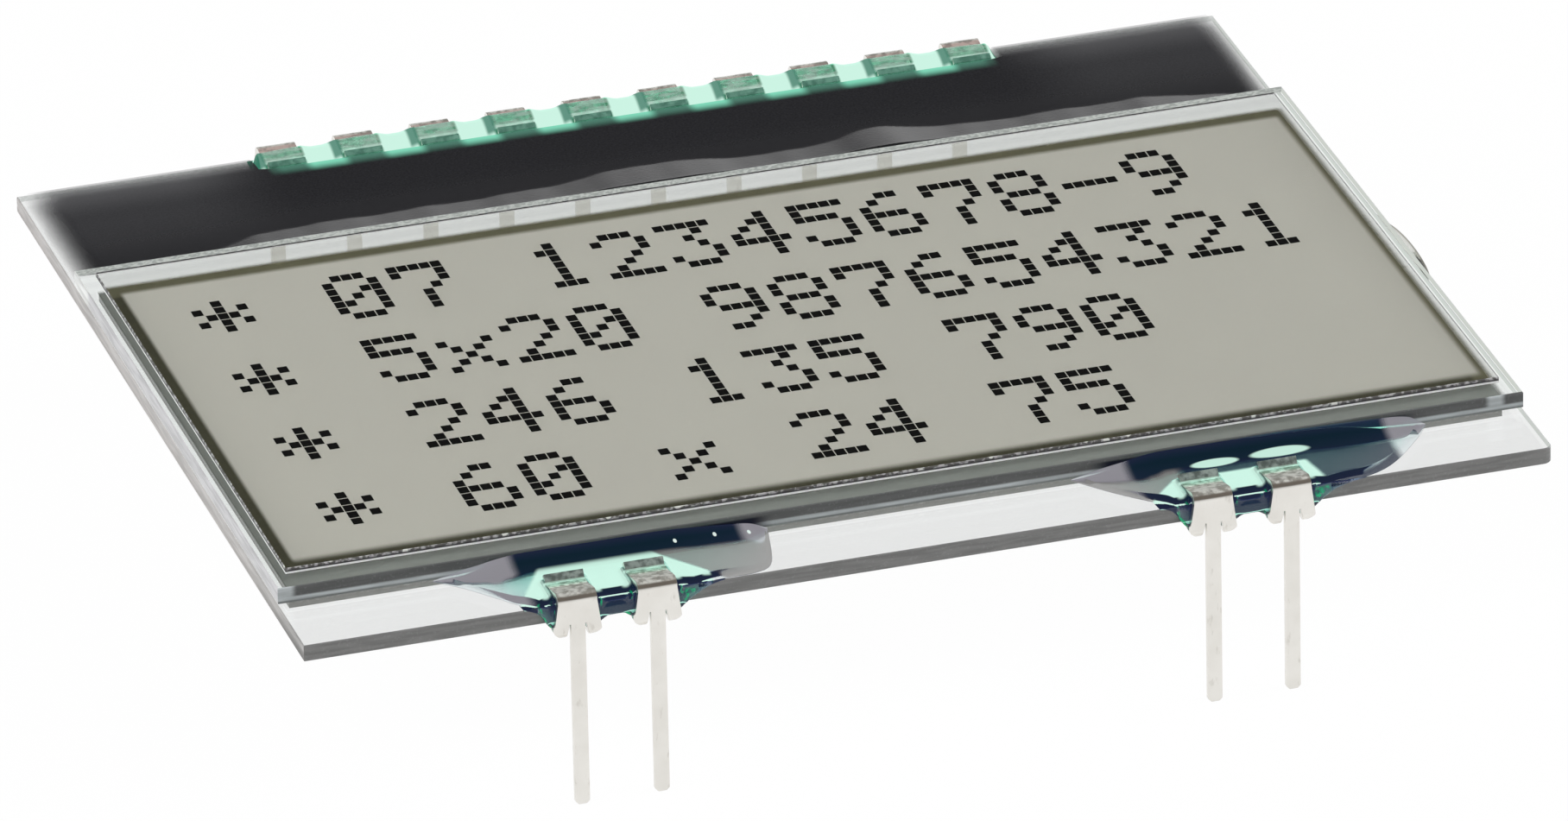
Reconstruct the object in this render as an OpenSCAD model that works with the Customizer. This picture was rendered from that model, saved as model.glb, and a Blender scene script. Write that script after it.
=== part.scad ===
// Bare glass character display that stands on its own contact pins.
// Two glass plates are sealed face to face around a thin liquid-crystal layer, with a polariser on each
// outer side. The rear plate is deeper than the front one, so it leaves a narrow contact ledge in front and
// a wide one behind, where the driver chip lies under a black coat. Sprung edge clips grip both ledges,
// each with one leg that points down, and beads of green glue lock them.
// The part stands on the tips of its legs at z = 0, with its front at -Y.

/* [Glass plates] */
// Width of both glass plates
glass_w = 40; // [34:0.5:50]
// Depth of the rear plate, from front edge to rear edge
rear_glass_d = 33; // [31:0.5:40]
// Thickness of the rear plate
rear_glass_t = 0.55; // [0.4:0.05:1.1]
// Size of the corner cut at the rear plate's front right corner
corner_cut = 0.3; // [0.1:0.1:1]
// Depth of the front plate
front_glass_d = 23.25; // [18:0.05:24]
// Thickness of the front plate
front_glass_t = 0.55; // [0.4:0.05:1.1]
// Depth of the bare ledge in front of the front plate
front_ledge = 2.8; // [2.5:0.1:3.5]
// Distance between the two plates
cell_gap = 0.04; // [0.02:0.01:0.1]

/* [Seal of the cell] */
// Distance from the front plate's edges to the seal
seal_inset = 0.4; // [0.1:0.05:0.8]
// Width of the seal line at the left
seal_left_w = 0.6; // [0.3:0.05:1.2]
// Width of the seal line at the right
seal_right_w = 0.4; // [0.3:0.05:1.2]
// Width of the seal line along the front
seal_front_w = 1.4; // [0.3:0.05:2]
// Width of the seal line along the rear
seal_rear_w = 1.55; // [0.3:0.05:2]
// Width of the filling port in the right-hand seal line
port_w = 3.4; // [1:0.1:6]
// Place of the filling port along the side, from the middle of the rear plate
port_y = -2.3; // [-6:0.1:2]
// Length of the drop that closes the port, along the plate edge
drop_l = 4.9; // [3.8:0.1:8]
// How far the drop stands out of the plate edge
drop_out = 0.43; // [0.2:0.01:0.5]
// Height of the drop across the edges of the two plates
drop_h = 0.95; // [0.6:0.05:1]

/* [Polarisers] */
// Thickness of the front polariser film
front_film_t = 0.2; // [0.1:0.01:0.4]
// Inset of the front film from the sides of the front plate
front_film_inset = 0.5; // [0.2:0.05:1.5]
// Inset of the front film from the front of the front plate
front_film_front_inset = 0.85; // [0.1:0.05:1.5]
// Inset of the front film from the rear of the front plate
front_film_rear_inset = 0.75; // [0.1:0.05:1.5]
// Thickness of the rear polariser film with its reflector
rear_film_t = 0.22; // [0.1:0.01:0.4]
// Inset of the rear film from the sides of the plates
rear_film_inset = 0.5; // [0.3:0.05:1.5]
// Inset of the rear film from the front plate's front edge
rear_film_front_inset = 0.55; // [0.1:0.05:1.5]
// Inset of the rear film from the front plate's rear edge
rear_film_rear_inset = 1.05; // [0.1:0.05:1.5]

/* [Pins] */
// Distance between neighbouring pins
pin_pitch = 2.54; // [2.2:0.01:2.8]
// Number of pins along the rear edge
rear_pins = 10; // [6:1:12]
// Number of front pins at each end, on the same grid as the rear ones
front_pins_each_end = 2; // [1:1:3]
// How far the legs reach below the underside of the rear plate
leg_reach = 6.2; // [4:0.1:10]
// Width of a leg
leg_w = 0.46; // [0.35:0.01:0.6]
// Corner cut at a leg's tip
tip_cut = 0.1; // [0.05:0.01:0.15]
// Thickness of the metal strip that a pin is bent from
strip_t = 0.2; // [0.15:0.01:0.25]
// Width of a clip's upper finger
head_w = 1.25; // [1.1:0.05:1.4]
// Width of a clip across its lower fingers
ear_w = 1.5; // [1.4:0.05:1.7]
// Inside radius of the bends round the plate's edge
bend_r = 0.08; // [0.06:0.01:0.1]
// Gap between the plate's edge and the web of a clip
web_gap = 0.08; // [0.06:0.01:0.15]
// Height of the upper bend's centre above the ledge
bend_rise = 0.14; // [0.12:0.01:0.2]
// Slope of the upper finger towards the glass, in degrees
finger_slope = 13; // [11:0.5:16]
// Inside radius of the curve that presses on the glass
contact_r = 0.1; // [0.08:0.01:0.15]
// Gap between the upper finger's lowest point and the glass
contact_gap = 0.01; // [0.005:0.005:0.02]
// Angle of the turned-up lip, in degrees
lip_angle = 50; // [35:1:60]
// Length of the turned-up lip
lip_l = 0.3; // [0.2:0.01:0.4]
// Distance of the lower bend's centre below the plate
ear_drop = 0.25; // [0.2:0.01:0.3]
// Slope of the lower fingers towards the glass, in degrees
ear_slope = 20; // [17:0.5:24]
// Gap between the lower fingers' tips and the underside of the plate
ear_gap = 0.03; // [0.01:0.01:0.06]
// Corner cut on the outer side of the lower fingers
ear_cut = 0.22; // [0.1:0.01:0.25]
// Width of the slit beside a leg at its closed upper end
slit_top_w = 0.04; // [0.03:0.01:0.06]
// Width of the slit beside a leg at its open lower end
slit_w = 0.14; // [0.08:0.01:0.16]

/* [Glue] */
// Height of the glue pools round the clip heads
pool_h = 0.3; // [0.2:0.01:0.36]
// Distance of a front pool's rear rim from the plate's edge
pool_in = 2.15; // [1.7:0.05:2.3]
// Length of a front pool beyond its outer pins
pool_over = 2; // [1.2:0.1:2.4]
// Height of the thin run of glue between a front pool and the front plate
run_h = 0.12; // [0.06:0.01:0.18]
// Length of that run beyond the outer pins
run_over = 4; // [2.5:0.1:5]
// Distance of the rear pool's front rim from the plate's edge
rear_pool_in = 1.47; // [1.35:0.01:2]
// Length of the rear pool beyond the outer pins
rear_pool_over = 0.85; // [0.75:0.05:1.5]
// Distance of a pool's outer rim from the plate's edge
pool_edge = 0.05; // [0.02:0.01:0.1]
// Radius of the bead of glue over the plate's edge
bead_r = 0.34; // [0.25:0.01:0.4]
// How far the bead stands out of the plate's edge
bead_out = 0.25; // [0.2:0.01:0.26]
// Length of the bead beyond the outer pins
bead_over = 1; // [0.8:0.05:1.3]

/* [Driver] */
// Length of the driver chip
chip_l = 12; // [6:0.5:20]
// Depth of the driver chip
chip_d = 1.4; // [0.8:0.1:2]
// Thickness of the driver chip
chip_t = 0.3; // [0.2:0.05:0.35]
// Thickness of the black coat at its middle
coat_h = 0.42; // [0.4:0.01:0.6]
// Distance over which the coat thins out towards its rims
coat_fall = 1.6; // [0.8:0.1:2]
// Bare rim of glass beside and behind the coat
coat_margin = 0.1; // [0.05:0.05:0.8]

/* [Hidden] */
$fn = 64;
// Facets of the wide, shallow arcs of the drops
shallow_fn = 300;
front_columns = concat([for (i = [0 : front_pins_each_end - 1]) i],
                       [for (i = [rear_pins - front_pins_each_end : rear_pins - 1]) i]);
front_pin_names = [for (i = [1 : len(front_columns)]) str("front_pin_", i)];
rear_pin_names = [for (i = [1 : rear_pins]) str("rear_pin_", i)];

// Levels of the stack, from the leg tips up
ledge_z = leg_reach + rear_glass_t;
front_glass_z = ledge_z + cell_gap;
front_film_z = front_glass_z + front_glass_t;

// Edges of the plates and of the cell, from front to rear
edge_y = rear_glass_d / 2;
front_glass_y = front_ledge - edge_y;
coat_y = front_glass_y + front_glass_d;
seal_outer = [glass_w - 2 * seal_inset, front_glass_d - 2 * seal_inset];
cell_x = seal_inset + seal_left_w - glass_w / 2;
cell_w = seal_outer.x - seal_left_w - seal_right_w;
cell_d = seal_outer.y - seal_front_w - seal_rear_w;
cell_y = front_glass_y + seal_inset + seal_front_w;
port_depth = seal_right_w + seal_inset;
// The chip lies midway between the front plate and the glue of the rear pins
chip_y = (coat_y + edge_y - rear_pool_in - chip_d) / 2;

// Clip bends: middle radii, and the points where the strip's bends and straights meet, as [outward, up]
bend_mid = bend_r + strip_t / 2;
contact_mid = contact_r + strip_t / 2;
bend_at = [web_gap - bend_r, bend_rise];
finger_top = bend_at + bend_mid * [-sin(finger_slope), cos(finger_slope)];
contact_z = contact_gap + strip_t / 2 + contact_mid;
finger_l = (finger_top.y + contact_mid * cos(finger_slope) - contact_z) / sin(finger_slope);
finger_foot = finger_top - finger_l * [cos(finger_slope), sin(finger_slope)];
contact_at = [finger_foot.x - contact_mid * sin(finger_slope), contact_z];
lip_foot = contact_at - contact_mid * [sin(lip_angle), cos(lip_angle)];
ear_bend_at = [bend_at.x, -rear_glass_t - ear_drop];
ear_bottom = ear_bend_at.y - bend_r - strip_t;
ear_foot = ear_bend_at - bend_mid * [sin(ear_slope), cos(ear_slope)];
ear_tip_z = -rear_glass_t - ear_gap - strip_t / 2 * cos(ear_slope);
ear_l = (ear_tip_z - ear_foot.y) / sin(ear_slope);
slit_z = -rear_glass_t - ear_gap;
leg_tip = -ledge_z;

// Glue: a pool's dome touches the ledge from its rim to just inside the plate's edge
pool_half = (pool_in - pool_edge) / 2;
run_half = front_ledge / 2;
rear_pool_half = (rear_pool_in - pool_edge) / 2;
bead_at = [bead_out - bead_r, -rear_glass_t / 4];

function column_x(i) = (i - (rear_pins - 1) / 2) * pin_pitch;

// Half the width of a clip's web at height z: it flares from the upper bend to the lower one
function web_half(z) = (head_w + (ear_w - head_w) * (bend_rise - z) / (bend_rise - ear_bend_at.y)) / 2;

glass_color = [0.80, 0.86, 0.84, 0.45];
film_color = [0.72, 0.72, 0.66, 0.8];
pin_color = [0.86, 0.86, 0.83];
glue_color = [0.36, 0.82, 0.66, 0.8];

// A plate with its middle at x = 0, its front edge at y and its underside at z
module plate(w, d, t, y, z) {
    translate([-w / 2, y, z]) cube([w, d, t]);
}

module rear_glass() {
    half_w = glass_w / 2;
    color(glass_color)
        translate([0, 0, leg_reach])
            linear_extrude(rear_glass_t)
                polygon([[-half_w, -edge_y], [half_w - corner_cut, -edge_y],
                         [half_w, corner_cut - edge_y], [half_w, edge_y], [-half_w, edge_y]]);
}

module front_glass() {
    color(glass_color) plate(glass_w, front_glass_d, front_glass_t, front_glass_y, front_glass_z);
}

// Printed epoxy line round the cell, open at the filling port
module perimeter_seal() {
    color([0.35, 0.34, 0.24])
        difference() {
            plate(seal_outer.x, seal_outer.y, cell_gap, front_glass_y + seal_inset, ledge_z);
            translate([cell_x, cell_y, ledge_z - cell_gap]) cube([cell_w, cell_d, 3 * cell_gap]);
            translate([0, port_y - port_w / 2, ledge_z - cell_gap])
                cube([glass_w, port_w, 3 * cell_gap]);
        }
}

// Clear drop that closes the filling port: a film between the plates and a lens on their edges
module fill_port_seal() {
    long_r = (drop_l ^ 2 / 4 + drop_out ^ 2) / (2 * drop_out);
    high_r = (drop_h ^ 2 / 4 + drop_out ^ 2) / (2 * drop_out);
    drop_x = glass_w / 2 + drop_out;
    cell_mid_z = ledge_z + cell_gap / 2;
    color([0.88, 0.90, 0.84, 0.6]) {
        translate([glass_w / 2 - port_depth, port_y - port_w / 2, ledge_z])
            cube([port_depth, port_w, cell_gap]);
        intersection() {
            translate([drop_x - long_r, port_y, cell_mid_z])
                cylinder(r = long_r, h = drop_h, center = true, $fn = shallow_fn);
            translate([drop_x - high_r, port_y, cell_mid_z])
                rotate([90, 0, 0]) cylinder(r = high_r, h = drop_l, center = true);
            translate([glass_w / 2, port_y - drop_l / 2, cell_mid_z - drop_h / 2])
                cube([drop_out, drop_l, drop_h]);
        }
    }
}

module liquid_crystal() {
    color([0.70, 0.70, 0.65]) translate([cell_x, cell_y, ledge_z]) cube([cell_w, cell_d, cell_gap]);
}

module front_polariser() {
    color(film_color)
        plate(glass_w - 2 * front_film_inset, front_glass_d - front_film_front_inset - front_film_rear_inset,
              front_film_t, front_glass_y + front_film_front_inset, front_film_z);
}

module rear_polariser() {
    color([0.66, 0.66, 0.62])
        plate(glass_w - 2 * rear_film_inset, front_glass_d - rear_film_front_inset - rear_film_rear_inset,
              rear_film_t, front_glass_y + rear_film_front_inset, leg_reach - rear_film_t);
}

module driver_chip() {
    color([0.22, 0.22, 0.25]) plate(chip_l, chip_d, chip_t, chip_y, ledge_z);
}

// One level of the coat: it draws in at the sides and the rear as it rises
module coat_level(angle) {
    level_t = coat_h / 100;
    inset = coat_margin + coat_fall * (1 - cos(angle));
    plate(glass_w - 2 * inset, edge_y - coat_y - inset, level_t, coat_y,
          ledge_z + (coat_h - level_t) * sin(angle));
}

// Black coat over the chip, with a bay at the rear that leaves room for the glue of the rear pins
module chip_coat() {
    bay_w = 2 * (column_x(rear_pins - 1) + max(rear_pool_over, bead_over));
    color([0.09, 0.09, 0.10])
        difference() {
            hull() for (angle = [0 : 30 : 90]) coat_level(angle);
            driver_chip();
            plate(bay_w, rear_pool_in, 3 * coat_h, edge_y - rear_pool_in, ledge_z - coat_h);
        }
}

// Shapes of a clip: x runs along the plate's edge, y points out of it, and z is up from the ledge
module along_edge(w) {
    rotate([90, 0, 90]) linear_extrude(w, center = true) children();
}

module across_edge(from_y, to_y) {
    translate([0, to_y, 0]) rotate([90, 0, 0]) linear_extrude(to_y - from_y) children();
}

// Bent stretch of the strip, as a sector of a ring
module strip_bend(at, inner_r, from_angle, to_angle) {
    reach = 3 * (inner_r + strip_t);
    middle = (from_angle + to_angle) / 2;
    translate(at)
        intersection() {
            difference() {
                circle(inner_r + strip_t);
                circle(inner_r);
            }
            polygon(concat([[0, 0]], [for (a = [from_angle, middle, to_angle]) reach * [cos(a), sin(a)]]));
        }
}

// Straight stretch of the strip, from a point on its middle line
module strip_straight(from, angle, length) {
    translate(from) rotate(angle) translate([0, -strip_t / 2]) square([length, strip_t]);
}

// Lip, contact curve, upper finger and upper bend, seen along the plate's edge
module upper_profile() {
    strip_straight(lip_foot, 180 - lip_angle, lip_l);
    strip_bend(contact_at, contact_r, -90 - lip_angle, finger_slope - 90);
    strip_straight(finger_foot, finger_slope, finger_l);
    strip_bend(bend_at, bend_r, 0, 90 + finger_slope);
}

// Lower end of the web, lower bend and lower finger, seen along the plate's edge
module lower_profile() {
    translate([web_gap, ear_bend_at.y]) square([strip_t, slit_z - ear_bend_at.y]);
    strip_bend(ear_bend_at, bend_r, -90 - ear_slope, 0);
    strip_straight(ear_foot, 180 - ear_slope, ear_l);
}

// A face that is the same on its left and right, from the points of its right side
module even_face(points) {
    last = len(points) - 1;
    polygon(concat(points, [for (i = [0 : last]) [-points[last - i].x, points[last - i].y]]));
}

module web_face() {
    even_face([[web_half(bend_rise), bend_rise], [web_half(slit_z), slit_z]]);
}

// Face of the lower fingers, seen from outside, with their cut corners
module ear_face() {
    half_w = ear_w / 2;
    even_face([[web_half(slit_z), slit_z], [half_w, ear_bend_at.y],
               [half_w, ear_bottom + ear_cut], [half_w - ear_cut, ear_bottom]]);
}

// Slot that parts the lower fingers from the leg
module leg_slot_face() {
    even_face([[leg_w / 2 + slit_top_w, slit_z], [leg_w / 2 + slit_w, ear_bottom]]);
}

module leg_face() {
    half_w = leg_w / 2;
    even_face([[half_w, slit_z], [half_w, leg_tip + tip_cut], [half_w - tip_cut, leg_tip]]);
}

module edge_pin() {
    outer_y = web_gap + strip_t;
    along_edge(head_w) upper_profile();
    across_edge(web_gap, outer_y) web_face();
    difference() {
        intersection() {
            along_edge(ear_w) lower_profile();
            across_edge(-2 * ear_l, outer_y) ear_face();
        }
        across_edge(-2 * ear_l, outer_y) leg_slot_face();
    }
    across_edge(web_gap, outer_y) leg_face();
}

module at_rear_edge() {
    translate([0, edge_y, ledge_z]) children();
}

module at_front_edge() {
    translate([0, -edge_y, ledge_z]) mirror([0, 1, 0]) children();
}

module front_pin(i) {
    color(pin_color) at_front_edge() translate([column_x(front_columns[i]), 0, 0]) edge_pin();
}

module rear_pin(i) {
    color(pin_color) at_rear_edge() translate([column_x(i), 0, 0]) edge_pin();
}

// Round bar along the edge with ball ends
module sausage(x0, x1, r) {
    translate([x0, 0, 0]) rotate([0, 90, 0]) cylinder(r = r, h = x1 - x0);
    for (x = [x0, x1]) translate([x, 0, 0]) sphere(r);
}

// Long drop on the ledge: the cap of a sausage, as wide as twice half and as high as h
module drop_on_ledge(x0, x1, middle_y, half, h) {
    r = (half ^ 2 + h ^ 2) / (2 * h);
    intersection() {
        translate([0, middle_y, h - r]) sausage(x0, x1, r, $fn = shallow_fn);
        translate([x0 - half, middle_y - half, 0]) cube([x1 - x0 + 2 * half, 2 * half, h]);
    }
}

// Bead of glue over the edge of the rear plate, which takes up its inner side
module edge_bead(x0, x1) {
    difference() {
        translate([0, bead_at.x, bead_at.y]) sausage(x0, x1, bead_r);
        translate([x0 - 2 * bead_r, -2 * bead_r, -rear_glass_t])
            cube([x1 - x0 + 4 * bead_r, 2 * bead_r, rear_glass_t]);
    }
}

// Glue of one pair or row of front pins: a pool, a thin run back to the front plate and an edge bead
module front_glue(columns) {
    first_x = column_x(columns[0]);
    last_x = column_x(columns[len(columns) - 1]);
    color(glue_color)
        at_front_edge()
            difference() {
                union() {
                    drop_on_ledge(first_x - pool_over + pool_half, last_x + pool_over - pool_half,
                                  -pool_edge - pool_half, pool_half, pool_h);
                    drop_on_ledge(first_x - run_over + run_half, last_x + run_over - run_half,
                                  -run_half, run_half, run_h);
                    edge_bead(first_x - bead_over + bead_r, last_x + bead_over - bead_r);
                }
                for (i = columns) translate([column_x(i), 0, 0]) edge_pin();
            }
}

module front_left_glue() {
    front_glue([for (i = [0 : front_pins_each_end - 1]) front_columns[i]]);
}

module front_right_glue() {
    front_glue([for (i = [front_pins_each_end : len(front_columns) - 1]) front_columns[i]]);
}

module rear_glue() {
    last_x = column_x(rear_pins - 1);
    pool_end = last_x + rear_pool_over - rear_pool_half;
    bead_end = last_x + bead_over - bead_r;
    color(glue_color)
        at_rear_edge()
            difference() {
                union() {
                    drop_on_ledge(-pool_end, pool_end, -pool_edge - rear_pool_half, rear_pool_half, pool_h);
                    edge_bead(-bead_end, bead_end);
                }
                for (i = [0 : rear_pins - 1]) translate([column_x(i), 0, 0]) edge_pin();
            }
}

rear_glass();
front_glass();
perimeter_seal();
fill_port_seal();
liquid_crystal();
front_polariser();
rear_polariser();
driver_chip();
chip_coat();
front_left_glue();
front_right_glue();
rear_glue();
for (i = [0 : len(front_columns) - 1])
    front_pin(i);
for (i = [0 : rear_pins - 1])
    rear_pin(i);
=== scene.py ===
import math

import bmesh
import bpy
from mathutils import Matrix, Vector


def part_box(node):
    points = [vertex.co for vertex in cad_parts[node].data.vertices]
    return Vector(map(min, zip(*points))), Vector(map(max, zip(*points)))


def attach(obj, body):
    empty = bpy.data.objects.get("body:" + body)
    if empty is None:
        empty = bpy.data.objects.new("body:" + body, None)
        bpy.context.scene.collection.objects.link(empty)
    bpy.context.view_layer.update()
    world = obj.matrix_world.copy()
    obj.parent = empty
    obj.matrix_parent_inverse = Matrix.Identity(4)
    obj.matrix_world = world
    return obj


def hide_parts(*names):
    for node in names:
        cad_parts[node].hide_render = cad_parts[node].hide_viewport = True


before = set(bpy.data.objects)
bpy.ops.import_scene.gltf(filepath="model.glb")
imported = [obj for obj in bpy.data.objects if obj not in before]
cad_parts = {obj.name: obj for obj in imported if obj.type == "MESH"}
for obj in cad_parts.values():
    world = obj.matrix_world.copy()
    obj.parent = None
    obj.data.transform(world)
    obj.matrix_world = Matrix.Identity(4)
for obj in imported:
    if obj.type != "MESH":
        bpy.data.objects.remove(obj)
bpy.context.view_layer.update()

mm = 0.001
scene = bpy.context.scene
scene.view_settings.view_transform = "Standard"

rearGlassLow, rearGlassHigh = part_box("rear_glass")
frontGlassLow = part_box("front_glass")[0]
ledge = rearGlassHigh.z  # level of the bare ledges
plateEdge = rearGlassHigh.y / mm  # of the rear plate's front and rear edges, from the middle
hair = 0.004 * mm  # air between faces that touch, so that clear pieces don't share a face
levelFace = 0.99  # a face is level where it points up or down by this much
print("frame loaded:", len(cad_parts), "nodes")


def columnsOf(side):
    # middles of a side's pins along x, in millimetres
    boxes = [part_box(node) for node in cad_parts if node.startswith(side + "_pin_")]
    return sorted((low.x + high.x) / 2 / mm for low, high in boxes)


frontColumns, rearColumns = columnsOf("front"), columnsOf("rear")
pinPitch = round(rearColumns[1] - rearColumns[0], 3)


def srgb(red, green, blue):
    # an eight-bit colour as linear values
    def linear(value):
        value = value / 255
        return value / 12.92 if value <= 0.04045 else ((value + 0.055) / 1.055) ** 2.4

    return (linear(red), linear(green), linear(blue), 1.0)


def easing(share):
    share = min(1, max(0, share))
    return share * share * (3 - 2 * share)


class Wire:
    # a node's output that takes part in Python maths
    def __init__(self, look, socket):
        self.look = look
        self.socket = socket

    def maths(self, operation, first, second=0.0):
        return self.look.node("ShaderNodeMath", {"operation": operation}, {0: first, 1: second})

    def __add__(self, other):
        return self.maths("ADD", self, other)

    def __sub__(self, other):
        return self.maths("SUBTRACT", self, other)

    def __rsub__(self, other):
        return self.maths("SUBTRACT", other, self)

    def __mul__(self, other):
        return self.maths("MULTIPLY", self, other)

    def __pow__(self, other):
        return self.maths("POWER", self, other)

    def __abs__(self):
        return self.maths("ABSOLUTE", self)

    def clamped(self):
        return self.maths("MINIMUM", self.maths("MAXIMUM", self, 0.0), 1.0)

    __radd__ = __add__
    __rmul__ = __mul__


class Look:
    # one node tree, of a material or of the world
    def __init__(self, owner):
        self.owner = owner
        owner.use_nodes = True
        self.tree = owner.node_tree
        self.tree.nodes.clear()

    def node(self, kind, settings=None, sockets=None, out=0):
        made = self.tree.nodes.new(kind)
        for key, value in (settings or {}).items():
            setattr(made, key, value)
        for key, value in (sockets or {}).items():
            if isinstance(value, Wire):
                self.tree.links.new(value.socket, made.inputs[key])
            else:
                made.inputs[key].default_value = value
        return Wire(self, made.outputs[out]) if made.outputs else None

    def spot(self):
        return self.node("ShaderNodeTexCoord", out="Object")

    def parts(self, vector, axes):
        return [self.node("ShaderNodeSeparateXYZ", None, {0: vector}, axis) for axis in axes]

    def place(self, axes="XYZ"):
        # Object coordinates in millimetres
        return [part * (1 / mm) for part in self.parts(self.spot(), axes)]

    def facing(self, axes):
        # direction that a face points in
        return self.parts(self.node("ShaderNodeNewGeometry", out="Normal"), axes)

    def grain(self, size, detail=2.0, stretch=None):
        # noise with lumps of about that size, in millimetres
        spot = self.spot()
        if stretch:
            spot = self.node("ShaderNodeMapping", None, {"Vector": spot, "Scale": stretch})
        sockets = {"Vector": spot, "Scale": 1 / (size * mm), "Detail": detail}
        return self.node("ShaderNodeTexNoise", None, sockets)

    def soft(self, value, start, end):
        # 0 before start, 1 after end
        ends = {"Value": value, "From Min": start, "From Max": end}
        return self.node("ShaderNodeMapRange", {"interpolation_type": "SMOOTHSTEP"}, ends)

    def blend(self, mask, first, second):
        return self.node("ShaderNodeMix", {"data_type": "RGBA"}, {0: mask, 6: first, 7: second}, 2)

    def bump(self, height, strength, depth):
        sockets = {"Height": height, "Strength": strength, "Distance": depth * mm}
        return self.node("ShaderNodeBump", None, sockets)

    def shiny(self, **sockets):
        named = {key.replace("_", " "): value for key, value in sockets.items()}
        return self.node("ShaderNodeBsdfPrincipled", None, named)

    def glassy(self, tint, ior, roughness=0.0):
        return self.shiny(Base_Color=tint, Roughness=roughness, IOR=ior, Transmission_Weight=1.0)

    def bonded(self, tint, ior):
        # for a face that is bonded to the next layer, so it bends light and reflects none
        return self.node("ShaderNodeBsdfRefraction", None, {"Color": tint, "Roughness": 0.0, "IOR": ior})

    def faded(self, mask, shader):
        # clear where the mask is 0
        clear = self.node("ShaderNodeBsdfTransparent")
        return self.mixed(mask, clear, shader)

    def rising(self, value, middle, half):
        # from 0 to 1 round that place; with a negative half width it falls
        return self.soft(value, middle - half, middle + half)

    def band(self, value, start, end, rim):
        # 1 between start and end, with soft rims of that half width
        return self.rising(value, start, rim) * self.rising(value, end, -rim)

    def rearHalf(self, y):
        return self.soft(y, -1, 1)

    def besidePins(self, x):
        # place along the edge from the nearest pin; the pins stand at odd halves of the pitch
        turn = self.node("ShaderNodeMath", {"operation": "FRACT"}, {0: x * (1 / pinPitch)})
        return (turn - 0.5) * pinPitch

    def inner(self):
        # 1 on a face that is seen from inside the piece
        return self.node("ShaderNodeNewGeometry", out="Backfacing")

    def mixed(self, mask, first, second):
        return self.node("ShaderNodeMixShader", None, {0: mask, 1: first, 2: second})

    def shining(self, tone):
        return self.node("ShaderNodeEmission", None, {"Color": tone})

    def dull(self, tone):
        return self.node("ShaderNodeBsdfDiffuse", None, {"Color": tone})

    def matte(self, tone, **more):
        return self.shiny(Base_Color=tone, Roughness=0.9, Specular_IOR_Level=0.0, **more)

    def surface(self, shader):
        self.node("ShaderNodeOutputMaterial", None, {"Surface": shader})
        return self

    def passing(self, tint, shader):
        # light passes straight through it to what it shades
        clear = self.node("ShaderNodeBsdfTransparent", None, {"Color": tint})
        shading = self.node("ShaderNodeLightPath", out="Is Shadow Ray")
        return self.mixed(shading, shader, clear)


def newLook(name):
    return Look(bpy.data.materials.new(name))


def clearLook(name, tint, ior):
    look = newLook(name)
    return look.surface(look.passing(tint, look.glassy(tint, ior)))


def bondedLook(name, tint, ior):
    look = newLook(name)
    return look.surface(look.passing(tint, look.bonded(tint, ior)))


def slab(bm, low, high):
    made = bmesh.ops.create_cube(bm, size=1.0)["verts"]
    low, high = Vector(low), Vector(high)
    bmesh.ops.scale(bm, vec=high - low, verts=made)
    bmesh.ops.translate(bm, vec=(low + high) / 2, verts=made)
    return made


def sheet(bm, low, high, level, columns=1, rows=1):
    # a flat grid between two corners
    bmesh.ops.create_grid(bm, x_segments=columns, y_segments=rows, size=0.5)
    bmesh.ops.scale(bm, vec=(high[0] - low[0], high[1] - low[1], 1), verts=bm.verts)
    bmesh.ops.translate(bm, vec=((low[0] + high[0]) / 2, (low[1] + high[1]) / 2, level), verts=bm.verts)


def cut(bm, point, across, **more):
    everything = bm.verts[:] + bm.edges[:] + bm.faces[:]
    bmesh.ops.bisect_plane(bm, geom=everything, plane_co=point, plane_no=across, **more)


def without(bm, test):
    # removes the faces whose middles pass the test
    gone = [face for face in bm.faces if test(face.calc_center_median())]
    bmesh.ops.delete(bm, geom=gone, context="FACES")


def only(kind, geom):
    return [item for item in geom if isinstance(item, kind)]


def raised(bm):
    # gives a flat shape its other side, and returns the new vertices
    made = bmesh.ops.extrude_face_region(bm, geom=bm.faces[:])["geom"]
    return only(bmesh.types.BMVert, made)


def roundEdges(bm, edges, size, segments):
    return bmesh.ops.bevel(bm, geom=edges, offset=size, offset_type="OFFSET", segments=segments,
                           profile=0.5, affect="EDGES", clamp_overlap=True, material=-1)


def shape(name, bm, looks, smooth=None):
    mesh = bpy.data.meshes.new(name)
    bm.to_mesh(mesh)
    bm.free()
    for look in looks:
        mesh.materials.append(look.owner)
    if smooth:
        mesh.shade_smooth()
        mesh.set_sharp_from_angle(angle=math.radians(smooth))
    made = bpy.data.objects.new(name, mesh)
    scene.collection.objects.link(made)
    return made


def piece(name, bm, looks, nodes=(), smooth=None):
    made = shape(name, bm, looks, smooth)
    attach(made, "root")
    if nodes:
        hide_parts(*nodes)
    return made


def dress(node, look):
    # a CAD node keeps its shape and gets a finish
    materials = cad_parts[node].data.materials
    materials.clear()
    materials.append(look.owner)


# Camera at the photograph's view
view = dict(
    heading=16.7912,  # degrees to the right of +Y
    dip=26.5199,  # degrees below the horizon
    roll=-1.2350,
    aim=(-1.5689 * mm, -6.1625 * mm, ledge),
    distance=573.133 * mm,
    lens=425.384,  # in millimetres, as the film is
    filmWidth=36,
)


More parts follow.
